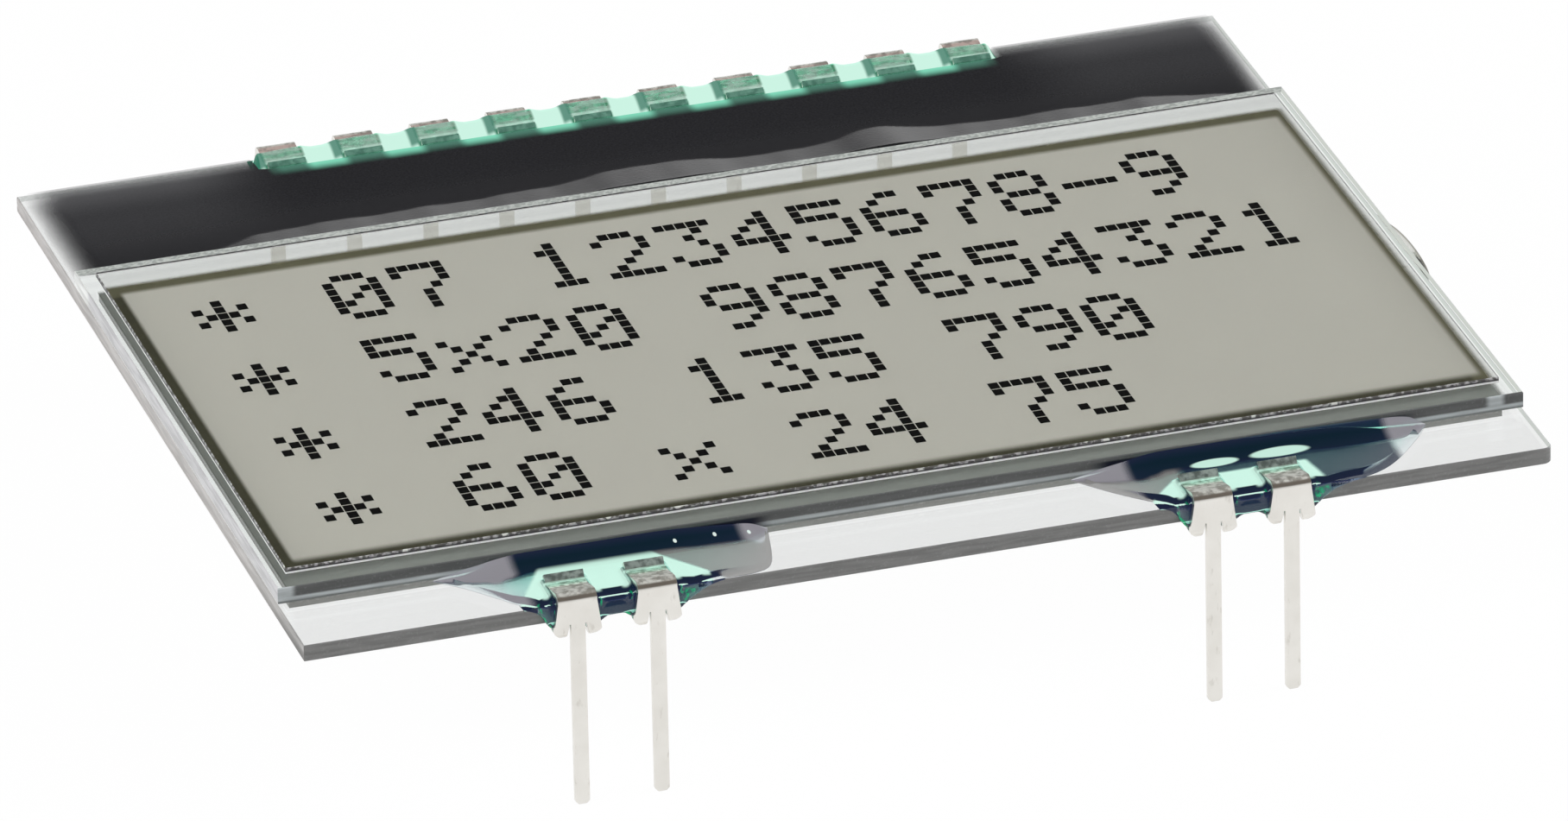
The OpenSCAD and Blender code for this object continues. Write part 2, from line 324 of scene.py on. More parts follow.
def makeCamera():
    heading, dip, roll = (math.radians(view[key]) for key in ("heading", "dip", "roll"))
    ahead = Vector((math.sin(heading), math.cos(heading), 0))
    forward = math.cos(dip) * ahead - Vector((0, 0, math.sin(dip)))
    level = Vector((math.cos(heading), -math.sin(heading), 0))
    right = math.cos(roll) * level + math.sin(roll) * level.cross(forward)
    turn = Matrix((right, right.cross(forward), -forward)).transposed().to_4x4()
    data = bpy.data.cameras.new("camera")
    data.lens = view["lens"]
    data.sensor_width = view["filmWidth"]
    data.sensor_fit = "HORIZONTAL"
    camera = bpy.data.objects.new("camera", data)
    camera.matrix_world = Matrix.Translation(Vector(view["aim"]) - view["distance"] * forward) @ turn
    scene.collection.objects.link(camera)
    scene.camera = camera


makeCamera()
print("camera set")


# White floor, soft lamps at both sides and a bright horizon under a dim sky
studio = dict(
    floorSize=3.0,
    floorWhite=1.0,  # what the camera, metal and glass see
    floorGlow=0.985,  # share of the floor that takes no shadow
    horizon=0.95,
    sky=0.05,
    horizonEdge=(0.17, 0.25),  # sine of the elevation where the horizon fades to the sky
    lampPower=1.75,
    lampSize=(0.30, 0.45),
    lampSpots=((-0.36, -0.10, 0.36), (0.36, -0.10, 0.36)),
)


def makeStudio():
    look = newLook("floorWhite")
    rays = [look.node("ShaderNodeLightPath", out=kind)
            for kind in ("Is Camera Ray", "Is Glossy Ray", "Is Transmission Ray")]
    seen = (rays[0] + rays[1] + rays[2]).clamped()
    white = (studio["floorWhite"],) * 3 + (1.0,)
    look.surface(look.mixed(seen * studio["floorGlow"], look.dull(white), look.shining(white)))
    bm = bmesh.new()
    reach = studio["floorSize"] / 2
    sheet(bm, (-reach, -reach), (reach, reach), 0)
    floor = shape("floor", bm, [look])

    sky = Look(bpy.data.worlds.new("sky"))
    direction = sky.node("ShaderNodeTexCoord", out="Generated")
    rise = sky.parts(direction, "Z")[0]
    tones = [(studio[key],) * 3 + (1.0,) for key in ("horizon", "sky")]
    glow = sky.blend(sky.soft(rise, *studio["horizonEdge"]), *tones)
    light = sky.node("ShaderNodeBackground", None, {"Color": glow})
    sky.node("ShaderNodeOutputWorld", None, {"Surface": light})
    scene.world = sky.owner

    for number, spot in enumerate(studio["lampSpots"]):
        data = bpy.data.lights.new(f"softbox{number}", "AREA")
        data.shape = "RECTANGLE"
        data.size, data.size_y = studio["lampSize"]
        data.energy = studio["lampPower"]
        lamp = bpy.data.objects.new(f"softbox{number}", data)
        lamp.location = spot
        lamp.rotation_euler = (-Vector(spot)).to_track_quat("-Z", "Y").to_euler()
        lamp.visible_glossy = False  # metal and glue mirror the floor and the sky only
        scene.collection.objects.link(lamp)


makeStudio()
print("studio lit")


# Glass plates: clear faces, and cut edges with painted light and shade
glass = dict(
    ior=1.52,
    tint=(0.975, 0.985, 0.98, 1.0),
    arris=0.03 * mm,  # width of the broken edges
    cornerCut=0.3 * mm,  # at the rear plate's front right corner
    cornerSteps=8,
    side=(0.4, 0.7),  # how far a face points to a side where it starts to take its tone, and fully does
    streak=srgb(60, 61, 60),
    speck=srgb(215, 220, 218),
)
# Looks of the cut edges, with places in millimetres. Each side's tone is painted light and shade, for
# what is seen through and reflected in the clear edge. inside is the light that they let in: along the
# rear, its chips, and along the sides. Behind the glue they get painted shade along the given spans, up
# to wetTop above the ledge
rearEdge = dict(
    front=srgb(130, 130, 129),
    left=(srgb(122, 121, 119), srgb(190, 186, 184)),  # painted lighter along y
    leftFade=(-16.5, -9.0),
    leftUpper=srgb(216, 214, 212),
    leftTop=(6.35, 6.6),
    rest=srgb(190, 194, 192),
    inside=(srgb(228, 230, 229), srgb(212, 215, 213), srgb(212, 216, 212)),
    glueShadeSpans=((-12.3, -8.0), (8.0, 12.3)),
    wetTop=0.0,
    glueShadeTone=srgb(6, 28, 40),
)
frontEdge = dict(
    front=(srgb(190, 196, 198), srgb(126, 131, 130), srgb(100, 101, 101)),  # painted light band, darker foot and dark upper part
    footTop=(0.17, 0.09),  # heights above the ledge
    bandTop=(0.21, 0.29),
    bandGaps=((-20.5, -19.5), (18.84, 19.35)),  # the upper part has painted light here
    left=(srgb(214, 214, 216), srgb(245, 247, 245)),  # painted white at the rear
    leftRear=(7.7, 8.1),
    rest=srgb(188, 192, 188),
    inside=(srgb(190, 194, 190), srgb(158, 162, 159), srgb(206, 210, 204)),
    glueShadeSpans=((-13.2, -4.6), (6.2, 16.2)),
    wetTop=0.40,
    glueShadeTone=srgb(16, 18, 36),
)


def stretches(look, x, spans, rim=0.4):
    # 1 along the given stretches of x
    return sum(look.band(x, start, end, rim) for start, end in spans)


def cutEdgeLook(name, edge, tones):
    # a scribed and broken edge, with a tone of painted light and shade for each side
    look = newLook(name)
    x, y, z = look.place()
    toX, toY = look.facing("XY")
    front, left = tones(look, x, y, z)
    toFront = look.soft(toY * -1, *glass["side"])
    tone = look.blend(look.soft(toX * -1, *glass["side"]), edge["rest"], left)
    tone = look.blend(toFront, tone, front)
    streak = look.soft(look.grain(0.22, 3.0, (0.15, 0.15, 2.0)), 0.35, 0.65)
    tone = look.blend(streak * 0.25, tone, glass["streak"])
    speck = look.soft(look.grain(0.09, 1.0), 0.60, 0.70)
    tone = look.blend(speck * 0.05, tone, glass["speck"])
    # painted shade on the edge behind the glue, up to the glue's top
    wet = look.soft(z - ledge / mm, edge["wetTop"] + 0.1, edge["wetTop"])
    tone = look.blend(stretches(look, x, edge["glueShadeSpans"]) * toFront * wet, tone, edge["glueShadeTone"])
    rough = look.bump(look.grain(0.06), 0.15, 0.02)
    body = look.shiny(Base_Color=tone, Roughness=0.45, Specular_IOR_Level=0.15, Normal=rough)
    rearSide, rearChip, otherSide = (look.shining(value) for value in edge["inside"])
    chipped = look.mixed(look.soft(look.grain(0.12), 0.42, 0.58), rearSide, rearChip)
    within = look.mixed(look.soft(abs(toY), *glass["side"]), otherSide, chipped)
    return look.surface(look.mixed(look.inner(), body, within))


# painted light and shade: a grey front, and a left side that is lighter to the rear and at its top
def rearEdgeTones(look, x, y, z):
    lower = look.blend(look.soft(y, *rearEdge["leftFade"]), *rearEdge["left"])
    left = look.blend(look.soft(z, *rearEdge["leftTop"]) * 0.5, lower, rearEdge["leftUpper"])
    return rearEdge["front"], left


# painted light and shade: a light band over a darker foot, a dark upper part that is lighter at the
# ends, and a left side that is white at the rear
def frontEdgeTones(look, x, y, z):
    up = z - ledge / mm
    light, foot, upper = frontEdge["front"]
    lower = look.blend(look.soft(up, *frontEdge["footTop"]), light, foot)
    share = look.soft(up, *frontEdge["bandTop"]) * (1 - stretches(look, x, frontEdge["bandGaps"], 0.12))
    left = look.blend(look.soft(y, *frontEdge["leftRear"]), *frontEdge["left"])
    return look.blend(share, lower, upper), left


def glassPlate(name, node, cornerCut, faceLook, edgeLook):
    low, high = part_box(node)
    lift = Vector((0, 0, hair))
    bm = bmesh.new()
    slab(bm, low + lift, high - lift)
    if cornerCut:
        corner = [e for e in bm.edges if all(v.co.x > 0 and v.co.y < 0 for v in e.verts)]
        roundEdges(bm, corner, cornerCut, glass["cornerSteps"])
    rims = [e for e in bm.edges if abs(e.verts[0].co.z - e.verts[1].co.z) < hair]
    roundEdges(bm, rims, glass["arris"], 1)
    bm.normal_update()
    for face in bm.faces:
        face.material_index = 0 if abs(face.normal.z) > levelFace else 1
    return piece(name, bm, [faceLook, edgeLook], [node])


def makePlates():
    clear = clearLook("clearGlass", glass["tint"], glass["ior"])
    bonded = bondedLook("bondedGlass", glass["tint"], glass["ior"])
    rearLook = cutEdgeLook("rearPlateEdge", rearEdge, rearEdgeTones)
    frontLook = cutEdgeLook("frontPlateEdge", frontEdge, frontEdgeTones)
    glassPlate("rearPlate", "rear_glass", glass["cornerCut"], clear, rearLook)
    glassPlate("frontPlate", "front_glass", 0, bonded, frontLook)


makePlates()
print("glass plates made")


# Cell: the readout's panel, the seal round it, and the drop that closes the filling port
cell = dict(
    grey=srgb(196, 192, 184),
    greyCloud=srgb(188, 182, 176),
    greyGrain=srgb(150, 147, 138),
    olive=srgb(62, 61, 48),  # at the front and the left
    paleOlive=srgb(98, 95, 76),  # at the rear and the right
    oliveGrain=srgb(104, 100, 82),
    rim=srgb(114, 116, 112),  # outside the front film
    rimGrain=srgb(96, 98, 96),
    resin=(0.95, 0.955, 0.92, 1.0),  # of the drop
    # painted shade on the drop's rim
    resinRimShade=srgb(120, 116, 100),
    resinIor=1.5,
    windowSoft=((0.10, 0.13), (0.25, 0.17)),  # half width of its soft rim, mm: left, right, front, rear
    lineSoft=0.18,  # and of the olive line's outer rim
    oliveRight=19.44,  # the line ends here, and the glass beyond is clear, mm
    oliveRear=8.16,
    paleRight=(18.8, 19.0),  # the line turns paler here
    paleRear=(7.3, 7.5),
    rimLeft=-19.38,
    rimFront=-12.45,
    rimSoft=0.05,
    panelLow=0.002 * mm,  # levels above the ledge
    panelHigh=0.0335 * mm,
    dotHigh=0.0375 * mm,
    portY=(-4.0 * mm, -0.6 * mm),
)
crystalLow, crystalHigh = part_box("liquid_crystal")


def windowEdge(look, x, y):
    # 1 in the window, 0 outside it, with a soft rim
    inside = 1.0
    for axis, place in enumerate((x, y)):
        low, high = crystalLow[axis] / mm, crystalHigh[axis] / mm
        softLow, softHigh = cell["windowSoft"][axis]
        inside = look.rising(place, low, softLow) * inside
        inside = look.rising(place, high, -softHigh) * inside
    return inside


def greyTone(look):
    grey = look.blend(look.grain(6.0) * 0.30, cell["grey"], cell["greyCloud"])
    return look.blend(look.grain(0.12, 1.0) * 0.10, grey, cell["greyGrain"])


def oliveTone(look, x, y):
    pale = 1 - (1 - look.soft(x, *cell["paleRight"])) * (1 - look.soft(y, *cell["paleRear"]))
    tone = look.blend(pale, cell["olive"], cell["paleOlive"])
    return look.blend(look.grain(0.15) * 0.35, tone, cell["oliveGrain"])


def panelLook():
    look = newLook("readoutPanel")
    x, y = look.place("XY")
    tone = look.blend(windowEdge(look, x, y), oliveTone(look, x, y), greyTone(look))
    return look.surface(look.matte(tone))


def sealLook():
    look = newLook("sealOlive")
    x, y = look.place("XY")
    soft = cell["rimSoft"]
    under = look.rising(x, cell["rimLeft"], soft) * look.rising(y, cell["rimFront"], soft)
    rim = look.blend(look.grain(0.4) * 0.25, cell["rim"], cell["rimGrain"])
    tone = look.blend(under, rim, oliveTone(look, x, y))
    tone = look.blend(windowEdge(look, x, y), tone, greyTone(look))
    soft = cell["lineSoft"]
    inside = look.rising(x, cell["oliveRight"], -soft) * look.rising(y, cell["oliveRear"], -soft)
    return look.surface(look.faded(inside, look.matte(tone)))


def dropLook():
    # clear resin, with painted shade on its rim where it turns away
    look = newLook("portResin")
    turned = look.node("ShaderNodeLayerWeight", None, {"Blend": 0.5}, "Facing")
    clear = look.glassy(cell["resin"], cell["resinIor"], 0.03)
    # painted shade where the drop turns away
    edge = look.soft(turned, 0.55, 0.9) * (1 - look.inner()) * 0.8
    body = look.mixed(edge, clear, look.dull(cell["resinRimShade"]))
    return look.surface(look.passing(cell["resin"], body))


def makeCell():
    bm = bmesh.new()
    slab(bm, (crystalLow.x, crystalLow.y, ledge + cell["panelLow"]),
         (crystalHigh.x, crystalHigh.y, ledge + cell["panelHigh"]))
    piece("readoutPanel", bm, [panelLook()], ["liquid_crystal"])

    low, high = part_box("perimeter_seal")
    seal = sealLook()
    bm = bmesh.new()
    sheet(bm, low, high, ledge + cell["panelLow"])
    for x in (crystalLow.x, crystalHigh.x):
        cut(bm, (x, 0, 0), (1, 0, 0))
    for y in (crystalLow.y, crystalHigh.y, *cell["portY"]):
        cut(bm, (0, y, 0), (0, 1, 0))

    def inOpening(spot):
        inCell = crystalLow.x < spot.x < crystalHigh.x and crystalLow.y < spot.y < crystalHigh.y
        inPort = spot.x > crystalHigh.x and cell["portY"][0] < spot.y < cell["portY"][1]
        return inCell or inPort

    without(bm, inOpening)
    rise = Vector((0, 0, high.z - ledge - 2 * cell["panelLow"]))
    bmesh.ops.translate(bm, vec=rise, verts=raised(bm))
    bmesh.ops.recalc_face_normals(bm, faces=bm.faces)
    piece("cellSeal", bm, [seal], ["perimeter_seal"])

    low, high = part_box("fill_port_seal")
    edge = rearGlassHigh.x + hair
    middle = Vector((edge, (low.y + high.y) / 2, (low.z + high.z) / 2))
    bm = bmesh.new()
    drop = bmesh.ops.create_icosphere(bm, subdivisions=5, radius=1.0)["verts"]
    bmesh.ops.scale(bm, vec=(high.x - edge, (high.y - low.y) / 2, (high.z - low.z) / 2), verts=drop)
    bmesh.ops.translate(bm, vec=middle, verts=drop)
    cut(bm, middle, (-1, 0, 0), clear_outer=True)
    bmesh.ops.holes_fill(bm, edges=[e for e in bm.edges if e.is_boundary])
    stopper = slab(bm, (crystalHigh.x, cell["portY"][0], ledge + cell["panelLow"]),
                   (edge - hair, cell["portY"][1], frontGlassLow.z - cell["panelLow"]))
    for face in {f for v in stopper for f in v.link_faces}:
        face.material_index = 1
    piece("portDrop", bm, [dropLook(), seal], ["fill_port_seal"], 40)


makeCell()
print("cell made")


# Readout: generic signs and numbers in a five by seven dot grid
readout = dict(
    lines=("* 07 12345678-9", "* 5x20 987654321", "* 246 135 790", "* 60 x 24 75"),
    firstDot=(-17.13 * mm, 6.393 * mm),  # top left dot of the first sign
    dotPitch=(0.3625 * mm, 0.4585 * mm),
    dotSize=(0.327 * mm, 0.412 * mm),
    signPitch=2.19 * mm,
    linePitch=4.69 * mm,
    black=(srgb(4, 4, 4), srgb(14, 14, 13)),
)
signs = {
    "0": ".###. #...# #..## #.#.# ##..# #...# .###.",
    "1": "..#.. .##.. ..#.. ..#.. ..#.. ..#.. .###.",
    "2": ".###. #...# ....# ...#. ..#.. .#... #####",
    "3": "##### ...#. ..#.. ...#. ....# #...# .###.",
    "4": "...#. ..##. .#.#. #..#. ##### ...#. ...#.",
    "5": "##### #.... ####. ....# ....# #...# .###.",
    "6": "..##. .#... #.... ####. #...# #...# .###.",
    "7": "##### #...# ....# ...#. ..#.. ..#.. ..#..",
    "8": ".###. #...# #...# .###. #...# #...# .###.",
    "9": ".###. #...# #...# .#### ....# ...#. .##..",
    "*": "..... ..#.. #.#.# .###. #.#.# ..#.. .....",
    "-": "..... ..... ..... ##### ..... ..... .....",
    "x": "..... ..... #...# .#.#. ..#.. .#.#. #...#",
}


def makeReadout():
    look = newLook("dotBlack")
    look.surface(look.matte(look.blend(look.grain(0.3, 1.0), *readout["black"])))
    bm = bmesh.new()
    half = Vector((*readout["dotSize"], 0)) / 2
    foot = Vector((0, 0, ledge + cell["panelHigh"] - hair))
    head = Vector((0, 0, ledge + cell["dotHigh"]))
    for line, text in enumerate(readout["lines"]):
        for column, sign in enumerate(text):
            for row, dots in enumerate(signs.get(sign, "").split()):
                for step, dot in enumerate(dots):
                    if dot == "#":
                        x = column * readout["signPitch"] + step * readout["dotPitch"][0]
                        y = line * readout["linePitch"] + row * readout["dotPitch"][1]
                        spot = Vector((*readout["firstDot"], 0)) + Vector((x, -y, 0))
                        slab(bm, spot - half + foot, spot + half + head)
    piece("readoutDots", bm, [look])


makeReadout()
print("readout made")


# Polarisers: a clear tinted film with rough cut edges in front, a grey film with its reflector behind
film = dict(
    tint=(0.925, 0.925, 0.92, 1.0),
    ior=1.5,
    edgeRound=0.02 * mm,
    lineTop=(0.40, 0.30),  # of the adhesive, as a share of the film's thickness
    lineGlow=0.12,
    tornFrom=(0.52, 0.70),
    line=(srgb(255, 255, 255), srgb(190, 190, 196)),
    dark=srgb(64, 63, 66),
    torn=(srgb(96, 94, 92), srgb(196, 194, 196)),
    chip=srgb(240, 242, 236),
    under=(srgb(168, 168, 164), srgb(190, 190, 186)),  # sides of the rear film
    over=(srgb(88, 88, 86), srgb(104, 104, 102)),
)


def filmEdgeLook():
    # a bright line of adhesive below with a painted glow, for the light that comes through it, dark film
    # above it, and torn pale specks along the top
    look = newLook("filmCutEdge")
    z = look.place("Z")[0]
    low, high = (value.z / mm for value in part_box("front_polariser"))
    share = (z - low) * (1 / (high - low))
    torn = look.soft(look.grain(0.14), 0.44, 0.64)
    top = look.blend(torn, *film["torn"])
    chip = look.soft(look.grain(0.5, 1.0), 0.66, 0.70)
    top = look.blend(chip, top, film["chip"])
    line = look.blend(look.grain(0.4, 1.0) * 0.3, *film["line"])
    lower = look.soft(share, *film["lineTop"])
    tone = look.blend(lower, film["dark"], line)
    tone = look.blend(look.soft(share, *film["tornFrom"]), tone, top)
    rough = look.bump(look.grain(0.05), 0.4, 0.02)
    # painted glow on the adhesive line
    glow = look.blend(lower, srgb(0, 0, 0), srgb(255, 255, 255))
    return look.surface(look.shiny(Base_Color=tone, Roughness=0.6, Emission_Color=glow,
                                   Emission_Strength=film["lineGlow"], Normal=rough))


def rearFilmLook():
    look = newLook("rearFilm")
    toZ = look.facing("Z")[0]
    under = look.blend(look.grain(0.25, 3.0), *film["under"])
    over = look.blend(look.grain(0.2), *film["over"])
    tone = look.blend(look.soft(toZ, -0.5, 0.5), under, over)
    sheen = look.bump(look.grain(0.08), 0.1, 0.01)
    return look.surface(look.shiny(Base_Color=tone, Roughness=0.42, Metallic=0.35, Normal=sheen))


def makeFilms():
    low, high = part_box("front_polariser")
    bm = bmesh.new()
    slab(bm, low + Vector((0, 0, hair)), high)
    middle = (low.z + high.z) / 2
    rims = [e for e in bm.edges if all(v.co.z > middle for v in e.verts)]
    roundEdges(bm, rims, film["edgeRound"], 1)
    bm.normal_update()
    for face in bm.faces:
        up = face.normal.z
        face.material_index = 0 if up > levelFace else 2 if up < -levelFace else 1
    clear = clearLook("filmClear", film["tint"], film["ior"])
    bonded = bondedLook("filmBonded", film["tint"], film["ior"])
    piece("frontFilm", bm, [clear, filmEdgeLook(), bonded], ["front_polariser"])
    dress("rear_polariser", rearFilmLook())


makeFilms()
print("films made")


# Driver chip under a black coat, with a wavy fillet against the front plate
coat = dict(
    height=0.40,  # all in millimetres
    fall=1.6,  # the coat thins out over this much at its rims
    fadeSides=1.1,  # and it turns clear over this much
    fadeRear=1.5,
    fadePower=1.5,
    skin=0.01,  # thinnest part
    bayHalf=11.9,  # by the rear glue it is a little lower, and takes on the glue's glow
    bayFade=(14.35, 15.00),
    bayFall=2.4,
    bayRim=0.6,
    bayDip=0.12,
    bayGlow=srgb(136, 226, 194),
    glowBelow=0.25,  # share of the glow below a clip, and how much more there is beside it
    glowBeside=0.65,
    clipSide=(0.45, 0.85),  # from a pin's middle
    filletSlope=0.13,
    filletWidth=1.12,
    filletSpan=(-15.6, 18.8),
    filletEnds=(1.8, 3.2),  # lengths over which it starts and ends
    lobes=((-0.8, 2.6, 0.62), (6.9, 1.7, 0.75), (-14.5, 1.2, -0.2)),  # x, half length and extra width
    ripples=((0.05, 2.1, 0.0), (0.015, 5.3, 1.0)),  # width, turns per millimetre and start
    glossEnd=(11.2, 12.8),  # the fillet is glossy, and the rest is matte from here
    black=srgb(30, 30, 32),
    grain=srgb(56, 56, 59),
    thin=srgb(112, 112, 114),  # at the ends, where light comes through
    ends=(11.5, 15.5),
    thinFront=(9.5, 13.0),
    thinRear=(13.3, 16.2),
    thinShares=(0.17, 0.60),
    columns=180,
    rows=70,
    chip=(srgb(44, 44, 50), srgb(70, 70, 78)),
)
coatLow, coatHigh = (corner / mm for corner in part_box("chip_coat"))


def filletWidth(x):
    (start, end), (opening, closing) = coat["filletSpan"], coat["filletEnds"]
    shares = ((x - start) / opening, (end - x) / closing)
    width = coat["filletWidth"] * math.prod(math.sqrt(min(1, max(0, share))) for share in shares)
    for middle, half, extra in coat["lobes"]:
        width += extra * math.exp(-(((x - middle) / half) ** 2))
    return width + sum(size * math.sin(turns * x + phase) for size, turns, phase in coat["ripples"])


def coatHeight(x, y):
    rim = min(coatHigh.x - abs(x), coatHigh.y - y)
    share = min(1, max(0, rim / coat["fall"]))
    dome = coat["height"] * math.sqrt(1 - (1 - share) ** 2)
    atBay = easing((coat["bayHalf"] + coat["bayRim"] - abs(x)) / coat["bayRim"])
    dome *= 1 - coat["bayDip"] * atBay * (1 - easing((coat["bayFade"][1] - y) / coat["bayFall"]))
    fillet = coat["filletSlope"] * max(0, filletWidth(x) - (y - coatLow.y))
    return dome + fillet * min(1, share * 2)


def coatLook():
    look = newLook("blackCoat")
    x, y = look.place("XY")
    wave = look.grain(3.0) * 0.2 - 0.1
    body = 1.0
    for rim, fade in ((coatHigh.x - abs(x), coat["fadeSides"]), (coatHigh.y - y, coat["fadeRear"])):
        lost = 1 - ((rim + wave) * (1 / fade)).clamped()
        body = (1 - lost ** coat["fadePower"]) * body
    tone = look.blend(look.grain(0.07), coat["black"], coat["grain"])
    inFront, behind = coat["thinShares"]
    thin = look.soft(y, *coat["thinFront"]) * inFront + look.soft(y, *coat["thinRear"]) * behind
    tone = look.blend(thin * look.soft(abs(x), *coat["ends"]), tone, coat["thin"])
    pores = look.bump(look.grain(0.08), 0.08, 0.02)
    glossy = look.shiny(Base_Color=tone, Roughness=0.14, IOR=1.5, Normal=pores)
    black = look.mixed(look.soft(y, *coat["glossEnd"]), glossy, look.matte(tone, Normal=pores))
    lit = look.soft(abs(look.besidePins(x)), *coat["clipSide"]) * coat["glowBeside"] + coat["glowBelow"]
    lit = lit * look.band(x, -coat["bayHalf"], coat["bayHalf"], coat["bayRim"] / 2)
    lit = lit * look.soft(y, *coat["bayFade"])
    return look.surface(look.faded(body, look.mixed(lit, black, look.shining(coat["bayGlow"]))))


def chipLook():
    look = newLook("chipSilicon")
    tone = look.blend(look.grain(0.5), *coat["chip"])
    return look.surface(look.shiny(Base_Color=tone, Roughness=0.25, Metallic=0.5))


def makeCoat():
    bm = bmesh.new()
    sheet(bm, coatLow, coatHigh, 0, coat["columns"], coat["rows"])
    bayX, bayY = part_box("rear_glue")[1].x / mm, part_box("rear_glue")[0].y / mm
    for x in (bayX, -bayX):
        cut(bm, (x, 0, 0), (1, 0, 0))
    cut(bm, (0, bayY, 0), (0, 1, 0))
    without(bm, lambda spot: abs(spot.x) < bayX and spot.y > bayY)
    top = set(raised(bm))
    seat = (ledge + hair) / mm
    for vert in bm.verts:
        x, y = vert.co.xy
        rise = max(coat["skin"], coatHeight(x, y)) if vert in top else 0
        vert.co = (x, max(y, coatLow.y + hair / mm), seat + rise)
    bmesh.ops.scale(bm, vec=(mm, mm, mm), verts=bm.verts)
    bmesh.ops.recalc_face_normals(bm, faces=bm.faces)
    piece("blackCoat", bm, [coatLook()], ["chip_coat"], 50)
    dress("driver_chip", chipLook())


makeCoat()
print("driver coat made")


# Pins: a strip bent to a clip round the plate's edge, with one leg
clip = dict(
    strip=0.2,  # all in millimetres and degrees
    headWidth=1.25,
    earWidth=1.5,
    legWidth=0.46,
    webGap=0.08,
    bendRadius=0.08,
    bendRise=0.14,
    fingerSlope=13,
    contactRadius=0.1,
    contactGap=0.01,
    lipAngle=50,
    lipLength=0.3,
    earDrop=0.25,  # of the lower bend's centre below the plate
    earSlope=20,
    earGap=0.03,
    earCut=0.22,
    slitTop=0.04,
    slitFoot=0.14,
    tipCut=0.1,
    edgeRound=0.016,
    edgeSteps=2,
    sharpAngle=35,  # edges above it are rounded
    flatAngle=1,  # and edges below it are dissolved
    bendSteps=12,
)
tin = dict(
    bright=(srgb(240, 238, 233), srgb(222, 219, 212)),
    smear=srgb(150, 143, 128),
    stainAndShade=(srgb(240, 240, 232), srgb(166, 163, 154)),  # stains and painted shade on faces that point up
    # painted shade at the bends and on the lips
    knuckle=srgb(126, 118, 108),
    lip=(srgb(164, 176, 170), srgb(100, 110, 106)),
    moss=(srgb(190, 230, 212), srgb(144, 190, 170)),  # on the rear pins
    # painted shade on the lips under the rear glue
    mossLip=(srgb(124, 176, 156), srgb(92, 142, 124)),
    wet=(srgb(230, 206, 198), srgb(180, 164, 158)),  # below the rear glue, which makes it green
    lipFrom=(-1.02, -1.10),  # places out from the plate's edge, in millimetres
    mossFrom=(0.0, -0.1),
    wetTop=(0.68, 0.60),  # height of the glue on the rear fingers
)


def advance(bm, faces, move):
    # extrudes the end of a strip and moves it; with its edges given, no face stays inside
    edges = dict.fromkeys(edge for face in faces for edge in face.edges)
    geom = bmesh.ops.extrude_face_region(bm, geom=[*faces, *edges])["geom"]
    bmesh.ops.transform(bm, matrix=move, verts=only(bmesh.types.BMVert, geom))
    return only(bmesh.types.BMFace, geom)


def bend(bm, faces, centre, angle, steps):
    # turns the end of the strip about an axis along the plate's edge
    axis = Matrix.Translation((0, centre[0], centre[1]))
    turn = axis @ Matrix.Rotation(math.radians(angle / steps), 4, "X") @ axis.inverted()
    for _ in range(steps):
        faces = advance(bm, faces, turn)
    return faces


def run(bm, faces, angle, length):
    # straight stretch; the angle is measured in the plane across the plate's edge
    move = length * Vector((0, math.cos(math.radians(angle)), math.sin(math.radians(angle))))
    return advance(bm, faces, Matrix.Translation(move))


